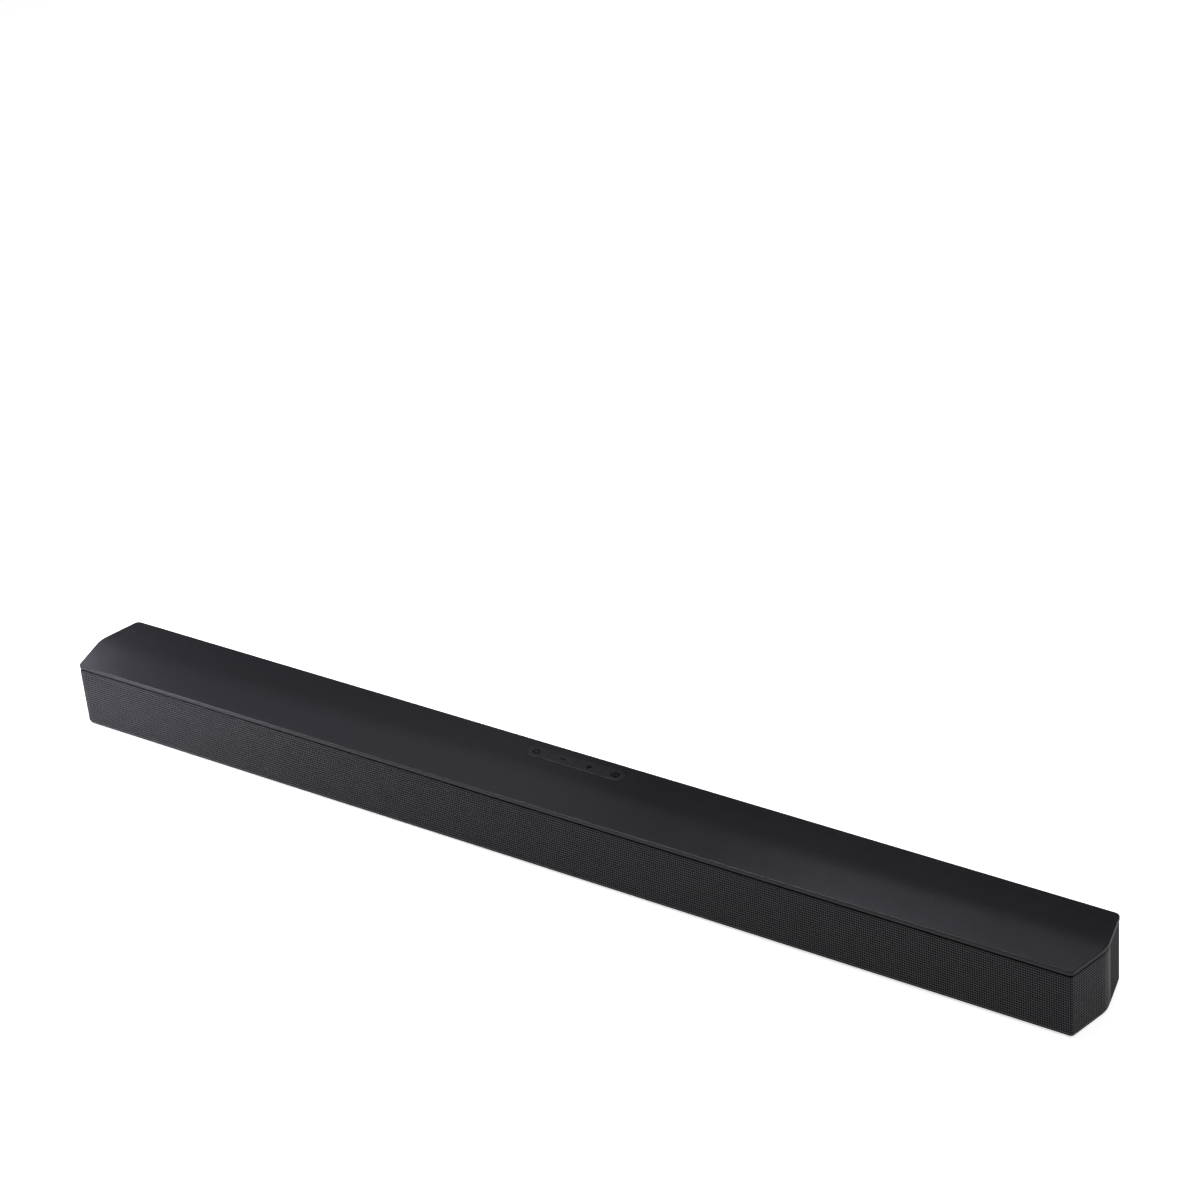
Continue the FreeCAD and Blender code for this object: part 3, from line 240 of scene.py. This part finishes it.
def make_sheet_piece(name, path, first, last, pitch, end_margins):
    """One stretch of the sheet between two whole columns of holes.

    The outer and inner faces are a grid of half-pitch steps. A punched cell swaps its middle
    point for a ring of points at the hole's edge.
    """
    steps = [column * pitch / 2 for column in range(2 * first, 2 * last + 1)]
    punched = [True] * (last - first)
    if end_margins[0]:
        steps = [steps[0] - end_margins[0], steps[0] - end_margins[0] / 2] + steps
        punched = [False] + punched
    if end_margins[1]:
        steps = steps + [steps[-1] + end_margins[1] / 2, steps[-1] + end_margins[1]]
        punched = punched + [False]
    low, rows, high = sheet_profile(0.0, sheet_fold_radius)
    low_inner, rows_inner, high_inner = sheet_profile(sheet_thickness, inner_fold_radius)
    first_row_node = len(low)
    outer_profile = low + rows + high
    inner_profile = low_inner + rows_inner + high_inner
    node_rows = len(outer_profile)
    node_columns = len(steps)

    base, normal = along(path, steps)
    half_row = row_pitch / 2
    side_lift = unrolled_gap * node_rows * half_row
    points = []
    flat = []
    for profile, side in ((outer_profile, 0), (inner_profile, 1)):
        for row, (depth, height) in enumerate(profile):
            place = base - normal * depth
            points.append(np.column_stack([place, np.full(node_columns, height)]))
            unrolled_height = row * half_row + side * side_lift
            flat.append(np.column_stack([np.asarray(steps), np.full(node_columns, unrolled_height)]))
    points = np.vstack(points)
    flat = np.vstack(flat)
    inner_start = node_rows * node_columns

    def node(column, row, side=0):
        return side * inner_start + row * node_columns + column

    quads = []
    hole_steps = []
    hole_heights = []
    hole_index = 0
    ring_offsets = [(1, 0), (1, 1), (0, 1), (-1, 1), (-1, 0), (-1, -1), (0, -1), (1, -1)]
    ring_start = 2 * inner_start
    hole_total = sum(punched) * row_count
    for cell, has_holes in enumerate(punched):
        column = 2 * cell + 1
        for row_index in range(row_count):
            row = first_row_node + 2 * row_index + 1
            border = [(column + dx, row + dz) for dx, dz in ring_offsets]
            if not has_holes:
                for side in (0, 1):
                    middle = node(column, row, side)
                    for k in range(0, hole_sides, 2):
                        corners = [node(*border[k], side), node(*border[k + 1], side),
                                   node(*border[(k + 2) % hole_sides], side), middle]
                        quads.append(corners if side == 0 else corners[::-1])
                continue
            outer_ring = ring_start + hole_index * hole_sides
            inner_ring = outer_ring + hole_total * hole_sides
            for k in range(hole_sides):
                following = (k + 1) % hole_sides
                quads.append([node(*border[k]), node(*border[following]),
                              outer_ring + following, outer_ring + k])
                quads.append([node(*border[following], 1), node(*border[k], 1),
                              inner_ring + k, inner_ring + following])
                quads.append([outer_ring + k, outer_ring + following,
                              inner_ring + following, inner_ring + k])
            hole_steps.append(steps[column])
            hole_heights.append(rows[2 * row_index + 1][1])
            hole_index += 1

    plain_rows = list(range(first_row_node)) + list(range(first_row_node + 2 * row_count, node_rows - 1))
    for column in range(node_columns - 1):
        for row in plain_rows:
            corners = [(column, row), (column + 1, row), (column + 1, row + 1), (column, row + 1)]
            quads.append([node(*corner) for corner in corners])
            quads.append([node(*corner, 1) for corner in reversed(corners)])
        quads.append([node(column, 0, 1), node(column + 1, 0, 1), node(column + 1, 0), node(column, 0)])
        top = node_rows - 1
        quads.append([node(column, top), node(column + 1, top),
                      node(column + 1, top, 1), node(column, top, 1)])
    for row in range(node_rows - 1):
        right = node_columns - 1
        quads.append([node(0, row), node(0, row + 1), node(0, row + 1, 1), node(0, row, 1)])
        quads.append([node(right, row + 1), node(right, row), node(right, row, 1), node(right, row + 1, 1)])

    angles = np.arange(hole_sides) * 2 * math.pi / hole_sides
    ring_steps = (np.asarray(hole_steps)[:, None] + hole_radius * np.cos(angles)[None, :]).ravel()
    ring_heights = (np.asarray(hole_heights)[:, None] + hole_radius * np.sin(angles)[None, :]).ravel()
    ring_base, ring_normal = along(path, ring_steps)
    ring_rows = (ring_heights - rows[0][1]) + first_row_node * half_row
    for side, depth in ((0, 0.0), (1, sheet_thickness)):
        place = ring_base - ring_normal * depth
        points = np.vstack([points, np.column_stack([place, ring_heights])])
        flat = np.vstack([flat, np.column_stack([ring_steps, ring_rows + side * side_lift])])

    lowest = flat.min(0)
    flat = (flat - lowest) / (flat.max(0) - lowest).max()
    used = np.zeros(len(points), bool)
    used[np.asarray(quads).ravel()] = True
    renumber = np.cumsum(used) - 1
    mesh = quad_mesh(name, points[used], renumber[np.asarray(quads)], flat[used])
    mesh.shade_smooth()
    mesh.set_sharp_from_angle(angle=sharp_angle)
    piece = bpy.data.objects.new(name, mesh)
    bpy.context.scene.collection.objects.link(piece)
    return piece


def make_sheet():
    """The whole punched sheet, in a few stretches that meet edge to edge between columns.

    The columns are spaced so that one falls on the middle of each rounded front corner.
    """
    path = sheet_path()
    total = sum(stretch[0] for stretch in path)
    front_face = path[4][0]
    front_corner = path[5][0]
    corner_at = (front_face + front_corner) / 2
    front_columns = round(corner_at / hole_pitch)
    pitch = corner_at / front_columns
    end_columns = int((total / 2 - corner_at - least_end_margin) / pitch)
    last = front_columns + end_columns
    margin = total / 2 - last * pitch
    edges = [round(-last + 2 * last * share / sheet_pieces) for share in range(sheet_pieces + 1)]
    for index in range(sheet_pieces):
        margins = (margin if index == 0 else 0.0, margin if index == sheet_pieces - 1 else 0.0)
        piece = make_sheet_piece("grille_sheet_%d" % (index + 1), path, edges[index], edges[index + 1],
                                 pitch, margins)
        piece.data.materials.append(materials["grille_steel"])
        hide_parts("front_grille")
        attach(piece, "cabinet")


# ---------------------------------------------------------------- materials

def new_material(name, color, roughness, specular=0.5):
    """A material with one Principled shader; returns it with its node tree and shader."""
    material = bpy.data.materials.new(name)
    material.use_nodes = True
    tree = material.node_tree
    shader = tree.nodes["Principled BSDF"]
    shader.inputs["Base Color"].default_value = (*color, 1.0)
    shader.inputs["Roughness"].default_value = roughness
    shader.inputs["Specular IOR Level"].default_value = specular
    return material, tree, shader


def object_noise(tree, size, detail=2.0, stretch=(1.0, 1.0, 1.0)):
    """Noise with features of about the given size in metres, fixed to the piece."""
    place = tree.nodes.new("ShaderNodeTexCoord")
    scale = tree.nodes.new("ShaderNodeMapping")
    scale.inputs["Scale"].default_value = stretch
    noise = tree.nodes.new("ShaderNodeTexNoise")
    noise.inputs["Scale"].default_value = 1.0 / size
    noise.inputs["Detail"].default_value = detail
    tree.links.new(place.outputs["Object"], scale.inputs["Vector"])
    tree.links.new(scale.outputs["Vector"], noise.inputs["Vector"])
    return noise.outputs["Fac"]


def spread(tree, source, low, high, from_low=0.3, from_high=0.7):
    """The source stretched from its own range to low..high."""
    node = tree.nodes.new("ShaderNodeMapRange")
    node.inputs["From Min"].default_value = from_low
    node.inputs["From Max"].default_value = from_high
    node.inputs["To Min"].default_value = low
    node.inputs["To Max"].default_value = high
    tree.links.new(source, node.inputs["Value"])
    return node.outputs["Result"]


def tint(tree, shader, source, dark, light):
    """Base colour that wanders between two close shades."""
    mix = tree.nodes.new("ShaderNodeMix")
    mix.data_type = "RGBA"
    mix.inputs["A"].default_value = (*dark, 1.0)
    mix.inputs["B"].default_value = (*light, 1.0)
    tree.links.new(source, mix.inputs["Factor"])
    tree.links.new(mix.outputs["Result"], shader.inputs["Base Color"])


def bump(tree, shader, source, depth, strength=1.0):
    """Surface relief of the given depth in metres."""
    node = tree.nodes.new("ShaderNodeBump")
    node.inputs["Distance"].default_value = depth
    node.inputs["Strength"].default_value = strength
    tree.links.new(source, node.inputs["Height"])
    tree.links.new(node.outputs["Normal"], shader.inputs["Normal"])


def shaded(shade, factor):
    """The shade, lighter or darker by a factor."""
    return tuple(channel * factor for channel in shade)


def moulded_plastic(name, shade, roughness, grain, relief, specular=0.5, handling=0.03):
    """Moulded plastic: fine spark-eroded grain, and slight changes of gloss from handling."""
    material, tree, shader = new_material(name, shade, roughness, specular)
    clouds = spread(tree, object_noise(tree, 12.0 * MM), 0.0, 1.0)
    tint(tree, shader, clouds, shaded(shade, 0.92), shaded(shade, 1.08))
    wear = object_noise(tree, 30.0 * MM, detail=4.0)
    tree.links.new(spread(tree, wear, roughness - handling, roughness + handling), shader.inputs["Roughness"])
    bump(tree, shader, object_noise(tree, grain, detail=3.0), relief)
    return material


def matt_sides(material, top_roughness, side_roughness):
    """Keeps the gloss on faces that look up and makes the upright sides matt."""
    tree = material.node_tree
    shader = tree.nodes["Principled BSDF"]
    place = tree.nodes.new("ShaderNodeTexCoord")
    parts = tree.nodes.new("ShaderNodeSeparateXYZ")
    tree.links.new(place.outputs["Normal"], parts.inputs["Vector"])
    matt_tilt = 0.75
    glossy_tilt = 0.93
    extra = spread(tree, parts.outputs["Z"], side_roughness - top_roughness, 0.0, matt_tilt, glossy_tilt)
    total = tree.nodes.new("ShaderNodeMath")
    total.operation = "ADD"
    tree.links.new(shader.inputs["Roughness"].links[0].from_socket, total.inputs[0])
    tree.links.new(extra, total.inputs[1])
    tree.links.new(total.outputs[0], shader.inputs["Roughness"])
    return material


def painted_steel(name, shade, roughness, specular=0.5):
    """Powder coat on steel: shallow orange peel and a fine speckle of gloss."""
    material, tree, shader = new_material(name, shade, roughness, specular)
    speckle = object_noise(tree, 0.6 * MM, detail=2.0)
    tree.links.new(spread(tree, speckle, roughness - 0.05, roughness + 0.05), shader.inputs["Roughness"])
    clouds = spread(tree, object_noise(tree, 20.0 * MM), 0.0, 1.0)
    tint(tree, shader, clouds, shaded(shade, 0.9), shaded(shade, 1.1))
    bump(tree, shader, object_noise(tree, 0.9 * MM, detail=1.0), 0.02 * MM)
    return material


def bare_metal(name, shade, roughness, brushed=(1.0, 1.0, 1.0)):
    """Bare metal with fine lines; brushed stretches them along the axes."""
    material, tree, shader = new_material(name, shade, roughness)
    shader.inputs["Metallic"].default_value = 1.0
    lines = object_noise(tree, 0.8 * MM, detail=3.0, stretch=brushed)
    tree.links.new(spread(tree, lines, roughness - 0.08, roughness + 0.1), shader.inputs["Roughness"])
    tint(tree, shader, spread(tree, lines, 0.0, 1.0), shaded(shade, 0.85), shade)
    bump(tree, shader, lines, 0.01 * MM)
    return material


def woven_cloth(name, shade):
    """Thin dark cloth: a square weave of threads about 0.3 mm apart."""
    material, tree, shader = new_material(name, shade, 0.9, 0.0)
    thread = 0.3 * MM
    wave_length = 20.0              # a wave texture repeats this many times per unit of scale
    place = tree.nodes.new("ShaderNodeTexCoord")
    heights = []
    for axis in ("X", "Z"):
        wave = tree.nodes.new("ShaderNodeTexWave")
        wave.bands_direction = axis
        wave.inputs["Scale"].default_value = 1.0 / (thread * wave_length)
        wave.inputs["Distortion"].default_value = 0.4
        tree.links.new(place.outputs["Object"], wave.inputs["Vector"])
        heights.append(wave.outputs["Fac"])
    weave = tree.nodes.new("ShaderNodeMath")
    weave.operation = "MAXIMUM"
    tree.links.new(heights[0], weave.inputs[0])
    tree.links.new(heights[1], weave.inputs[1])
    tint(tree, shader, weave.outputs[0], shaded(shade, 0.5), shade)
    bump(tree, shader, weave.outputs[0], 0.1 * MM)
    return material


def circuit_resist(name):
    """Green solder mask with faint copper tracks under it."""
    resist = (0.010, 0.070, 0.030)
    resist_light = (0.012, 0.085, 0.036)
    track = (0.030, 0.130, 0.050)
    tracks_per_metre = 160.0
    material, tree, shader = new_material(name, resist, 0.35)
    place = tree.nodes.new("ShaderNodeTexCoord")
    cells = tree.nodes.new("ShaderNodeTexBrick")
    cells.inputs["Scale"].default_value = tracks_per_metre
    cells.inputs["Color1"].default_value = (*resist, 1.0)
    cells.inputs["Color2"].default_value = (*resist_light, 1.0)
    cells.inputs["Mortar"].default_value = (*track, 1.0)
    cells.inputs["Mortar Size"].default_value = 0.03
    tree.links.new(place.outputs["Object"], cells.inputs["Vector"])
    tree.links.new(cells.outputs["Color"], shader.inputs["Base Color"])
    gloss = spread(tree, object_noise(tree, 4.0 * MM), 0.3, 0.42)
    tree.links.new(gloss, shader.inputs["Roughness"])
    return material


def clear_lens(name):
    """Slightly frosted clear plastic."""
    material, tree, shader = new_material(name, (0.85, 0.9, 1.0), 0.12)
    shader.inputs["Transmission Weight"].default_value = 0.6
    gloss = spread(tree, object_noise(tree, 2.0 * MM), 0.08, 0.2)
    tree.links.new(gloss, shader.inputs["Roughness"])
    return material


def make_cover_plastic(name):
    """Satin black top whose sides are matt."""
    satin = 0.23
    material = moulded_plastic(name, (0.0075, 0.0075, 0.0082), satin, grain=0.25 * MM,
                               relief=0.003 * MM, specular=0.3, handling=0.006)
    return matt_sides(material, satin, 0.6)


def make_plastics():
    """The moulded pieces, from the housing to the small parts on the boards, by name."""
    recipes = {
        "housing_plastic": dict(shade=(0.007, 0.007, 0.0077), roughness=0.7, grain=0.35 * MM,
                                relief=0.03 * MM, specular=0.05),
        "inner_plastic": dict(shade=(0.010, 0.010, 0.011), roughness=0.6, grain=0.4 * MM, relief=0.03 * MM),
        "jack_plastic": dict(shade=(0.014, 0.014, 0.015), roughness=0.55, grain=0.3 * MM, relief=0.02 * MM),
        "soft_rubber": dict(shade=(0.014, 0.014, 0.014), roughness=0.8, grain=0.8 * MM, relief=0.04 * MM),
        "key_plastic": dict(shade=(0.0080, 0.0080, 0.0088), roughness=0.25, grain=0.25 * MM,
                            relief=0.003 * MM, specular=0.3, handling=0.006),
        "key_icon": dict(shade=(0.001, 0.001, 0.001), roughness=0.8, grain=0.2 * MM,
                         relief=0.01 * MM, specular=0.0),
        "socket_plastic": dict(shade=(0.012, 0.012, 0.013), roughness=0.35, grain=0.5 * MM, relief=0.01 * MM),
        "chip_resin": dict(shade=(0.016, 0.016, 0.017), roughness=0.6, grain=0.3 * MM, relief=0.02 * MM),
        "ferrite": dict(shade=(0.045, 0.045, 0.048), roughness=0.6, grain=0.6 * MM, relief=0.04 * MM),
        "cable_plastic": dict(shade=(0.60, 0.60, 0.60), roughness=0.5, grain=1.0 * MM, relief=0.03 * MM),
        "cone_paper": dict(shade=(0.030, 0.030, 0.030), roughness=0.85, grain=0.9 * MM, relief=0.08 * MM),
    }
    return {name: moulded_plastic(name, **recipe) for name, recipe in recipes.items()}


def make_bare_metals():
    """Screws, inserts, socket shells and the heat sink, by name."""
    recipes = {
        "screw_steel": dict(shade=(0.10, 0.10, 0.105), roughness=0.4),
        "insert_brass": dict(shade=(0.72, 0.55, 0.26), roughness=0.35, brushed=(1.0, 1.0, 8.0)),
        "socket_steel": dict(shade=(0.62, 0.62, 0.63), roughness=0.3, brushed=(1.0, 6.0, 1.0)),
        "bare_aluminium": dict(shade=(0.72, 0.72, 0.73), roughness=0.35, brushed=(1.0, 8.0, 1.0)),
    }
    return {name: bare_metal(name, **recipe) for name, recipe in recipes.items()}


def make_materials():
    """One material for each material slot of the record, and the dark ink of the icons, by name."""
    made = make_plastics()
    made.update(make_bare_metals())
    made["cover_plastic"] = make_cover_plastic("cover_plastic")
    made["grille_steel"] = painted_steel("grille_steel", (0.0145, 0.0145, 0.0162), 0.45, specular=0.25)
    made["pressed_steel"] = painted_steel("pressed_steel", (0.020, 0.020, 0.022), 0.45)
    made["black_cloth"] = woven_cloth("black_cloth", (0.002, 0.002, 0.0022))
    made["dome_silk"] = woven_cloth("dome_silk", (0.020, 0.020, 0.022))
    made["circuit_board"] = circuit_resist("circuit_board")
    made["light_lens"] = clear_lens("light_lens")
    return made


materials = make_materials()


def paint_frame():
    """Gives every CAD node the material of its slot in the record."""
    for part in frame["record"]["subparts"]:
        piece = nodes[part["node"]]
        if not piece.material_slots:
            piece.data.materials.append(None)
        for holder in piece.material_slots:
            holder.material = materials[part["material_slot"]]


# ---------------------------------------------------------------- keys with engraved icons

def prism(builder, outline, low, high):
    """An upright prism in the cutter on a plan outline."""
    bottom = [builder.verts.new((x, y, low)) for x, y in outline]
    top = [builder.verts.new((x, y, high)) for x, y in outline]
    count = len(outline)
    for index in range(count):
        following = (index + 1) % count
        builder.faces.new((bottom[index], bottom[following], top[following], top[index]))
    builder.faces.new(reversed(bottom))
    builder.faces.new(top)


def bar_outline(x, y, width, height):
    """A plain rectangle."""
    half_width = width / 2
    half_height = height / 2
    return [(x - half_width, y - half_height), (x + half_width, y - half_height),
            (x + half_width, y + half_height), (x - half_width, y + half_height)]


def arc_outline(x, y, radius, start, end):
    """A ring sector, with its angles in degrees from +X."""
    outline = []
    for reach, order in ((radius + icon_stroke / 2, range(arc_steps + 1)),
                         (radius - icon_stroke / 2, range(arc_steps, -1, -1))):
        for step in order:
            angle = math.radians(start + (end - start) * step / arc_steps)
            outline.append((x + reach * math.cos(angle), y + reach * math.sin(angle)))
    return outline


def plus_outline(x, y, size):
    """A cross of two equal bars, drawn as four turned quarters."""
    arm = size / 2
    half = icon_stroke / 2
    quarter = [(arm, half), (half, half), (half, arm)]
    outline = []
    for turn in range(4):
        cosine = math.cos(turn * math.pi / 2)
        sine = math.sin(turn * math.pi / 2)
        outline += [(x + a * cosine - b * sine, y + a * sine + b * cosine) for a, b in quarter]
    return outline


def bracket_outline(x, y, width, height):
    """Three sides of a rectangle, open to -X."""
    left = x - width / 2
    right = x + width / 2
    low = y - height / 2
    high = y + height / 2
    inner_right = right - icon_stroke
    return [(left, low), (right, low), (right, high), (left, high), (left, high - icon_stroke),
            (inner_right, high - icon_stroke), (inner_right, low + icon_stroke), (left, low + icon_stroke)]


def arrow_outline(x_tail, x_tip, y):
    """An arrow that points to +X."""
    half = icon_stroke / 2
    neck = x_tip - arrow_head
    return [(x_tail, y - half), (neck, y - half), (neck, y - arrow_head), (x_tip, y), (neck, y + arrow_head),
            (neck, y + half), (x_tail, y + half)]


def icon_outlines(name, x, y):
    """The engraved outlines of one key's icon."""
    if name == "power":
        return [arc_outline(x, y, power_ring_radius, power_ring_start, power_ring_end),
                bar_outline(x, y + power_bar_lift, icon_stroke, power_bar_length)]
    if name == "minus":
        return [bar_outline(x, y, icon_size, icon_stroke)]
    if name == "plus":
        return [plus_outline(x, y, icon_size)]
    return [bracket_outline(x, y, source_frame_width, icon_size),
            arrow_outline(x + arrow_tail, x + arrow_tip, y)]


def make_key(name):
    """The key's own shape with its icon engraved in the top."""
    node = nodes["key_" + name]
    key = bpy.data.objects.new("keycap_" + name, node.data.copy())
    bpy.context.scene.collection.objects.link(key)
    key.data.materials.clear()
    key.data.materials.append(materials["key_plastic"])
    key.data.materials.append(materials["key_icon"])

    switch_low, switch_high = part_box("key_switch_" + name)
    centre = ((switch_low[0] + switch_high[0]) / 2, (switch_low[1] + switch_high[1]) / 2)
    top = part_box("key_" + name)[1][2]
    builder = bmesh.new()
    for outline in icon_outlines(name, *centre):
        prism(builder, outline, top - icon_depth, top + icon_depth)
    bmesh.ops.recalc_face_normals(builder, faces=builder.faces)
    cutter_mesh = bpy.data.meshes.new("icon_cutter")
    builder.to_mesh(cutter_mesh)
    builder.free()
    cutter_mesh.materials.append(materials["key_plastic"])
    cutter_mesh.materials.append(materials["key_icon"])
    for face in cutter_mesh.polygons:
        face.material_index = 1
    cutter = bpy.data.objects.new("icon_cutter", cutter_mesh)
    bpy.context.scene.collection.objects.link(cutter)

    weld = key.modifiers.new("weld", "WELD")
    weld.merge_threshold = weld_distance
    carve = key.modifiers.new("carve", "BOOLEAN")
    carve.operation = "DIFFERENCE"
    carve.solver = "EXACT"
    carve.object = cutter
    bpy.context.view_layer.update()
    shaped = bpy.data.meshes.new_from_object(key.evaluated_get(bpy.context.evaluated_depsgraph_get()))
    key.modifiers.clear()
    key.data = shaped
    if "custom_normal" in shaped.attributes:
        shaped.attributes.remove(shaped.attributes["custom_normal"])
    shaped.shade_flat()
    bpy.data.objects.remove(cutter)

    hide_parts("key_" + name)
    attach(key, name + "_key")


# ---------------------------------------------------------------- stage, lights and camera

def make_floor():
    """Pale paper that glows a little, so that it stays white to its edges."""
    paper = 0.86
    mesh = bpy.data.meshes.new("floor")
    reach = floor_reach
    corners = [(-reach, -reach, 0), (reach, -reach, 0), (reach, reach, 0), (-reach, reach, 0)]
    mesh.from_pydata(corners, [], [(0, 1, 2, 3)])
    floor = bpy.data.objects.new("floor", mesh)
    bpy.context.scene.collection.objects.link(floor)
    material, tree, shader = new_material("floor_paper", (paper,) * 3, 0.8)
    clouds = spread(tree, object_noise(tree, 50.0 * MM), 0.0, 1.0)
    tint(tree, shader, clouds, (paper - 0.01,) * 3, (paper + 0.01,) * 3)
    shader.inputs["Emission Color"].default_value = (*white_light, 1.0)
    shader.inputs["Emission Strength"].default_value = floor_glow
    mesh.materials.append(material)


def area_light(name, place, target, size, power, color=cool_light):
    """A soft rectangular light at a place, turned to a target; the camera doesn't see it."""
    data = bpy.data.lights.new(name, "AREA")
    data.shape = "RECTANGLE"
    data.size = size[0]
    data.size_y = size[1]
    data.energy = power
    data.color = color
    light = bpy.data.objects.new(name, data)
    direction = Vector(target) - Vector(place)
    light.matrix_world = Matrix.Translation(place) @ direction.to_track_quat("-Z", "Y").to_matrix().to_4x4()
    light.visible_camera = False
    bpy.context.scene.collection.objects.link(light)


def make_sky():
    """Faint even light from all round."""
    world = bpy.data.worlds.new("studio")
    world.use_nodes = True
    sky = world.node_tree.nodes["Background"]
    sky.inputs["Color"].default_value = (*white_light, 1.0)
    sky.inputs["Strength"].default_value = sky_strength
    bpy.context.scene.world = world


def make_lights():
    """Places, targets and sizes in metres, powers in watts."""
    left_end = (-0.47, -0.03, 0.03)

    # A wide soft box lights the floor and the bar evenly
    area_light("overhead", (0.3, 0.4, 3.0), (0.3, 0.4, 0.0), (7.0, 3.4), 54.0, white_light)

    # A long strip draws the bright line on the cover's front edge
    area_light("edge_strip", (-0.65, 0.2, 1.34), (0.05, -0.04, 0.06), (1.8, 0.12), 10.5)

    # Two panels behind, mirrored in the front half of the top and not in the back half
    area_light("back_panel_left", (-1.40, 1.2, 1.38), (-0.4, 0.0, 0.06), (0.9, 0.4), 0.8)
    area_light("back_panel_right", (-0.22, 1.2, 1.64), (0.1, 0.0, 0.06), (0.85, 0.4), 3.4)

    # Three small lights brighten the left end
    area_light("left_corner", (-1.14, 0.41, 0.47), (-0.49, -0.04, 0.06), (0.2, 0.2), 1.18)
    area_light("left_front", (-0.60, -0.42, 0.25), left_end, (0.25, 0.25), 1.1)
    area_light("left_front_high", (-0.56, -0.14, 0.32), left_end, (0.15, 0.15), 2.1)

    # One takes the shadow off the floor at the right end, and one shows the back
    area_light("right_floor", (0.68, -0.12, 0.30), (0.57, -0.06, 0.0), (0.25, 0.25), 0.25)
    area_light("back_fill", (0.6, 1.8, 0.5), (0.0, 0.04, 0.03), (1.5, 0.3), 4.0)


def make_camera():
    """Camera to the right front of the bar, looking down at it, with a slight roll."""
    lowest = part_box("lower_housing")[0][2]
    level_share = math.cos(camera_elevation)
    back = Vector((math.sin(camera_azimuth) * level_share, -math.cos(camera_azimuth) * level_share,
                   math.sin(camera_elevation)))
    level = Vector((math.cos(camera_azimuth), math.sin(camera_azimuth), 0.0))
    above = back.cross(level)
    right = level * math.cos(camera_roll) + above * math.sin(camera_roll)
    up = above * math.cos(camera_roll) - level * math.sin(camera_roll)
    place = back * camera_distance + right * aim_across + up * aim_up + Vector((0.0, 0.0, lowest))
    data = bpy.data.cameras.new("camera")
    data.sensor_width = sensor_width
    data.lens = lens_length
    data.clip_end = camera_clip_end
    camera = bpy.data.objects.new("camera", data)
    camera.matrix_world = Matrix(((right.x, up.x, back.x, place.x), (right.y, up.y, back.y, place.y),
                                  (right.z, up.z, back.z, place.z), (0.0, 0.0, 0.0, 1.0)))
    bpy.context.scene.collection.objects.link(camera)
    bpy.context.scene.camera = camera


paint_frame()
make_sheet()
for key_name in key_names:
    make_key(key_name)
make_floor()
make_sky()
make_lights()
make_camera()
bpy.context.scene.view_settings.view_transform = "Standard"
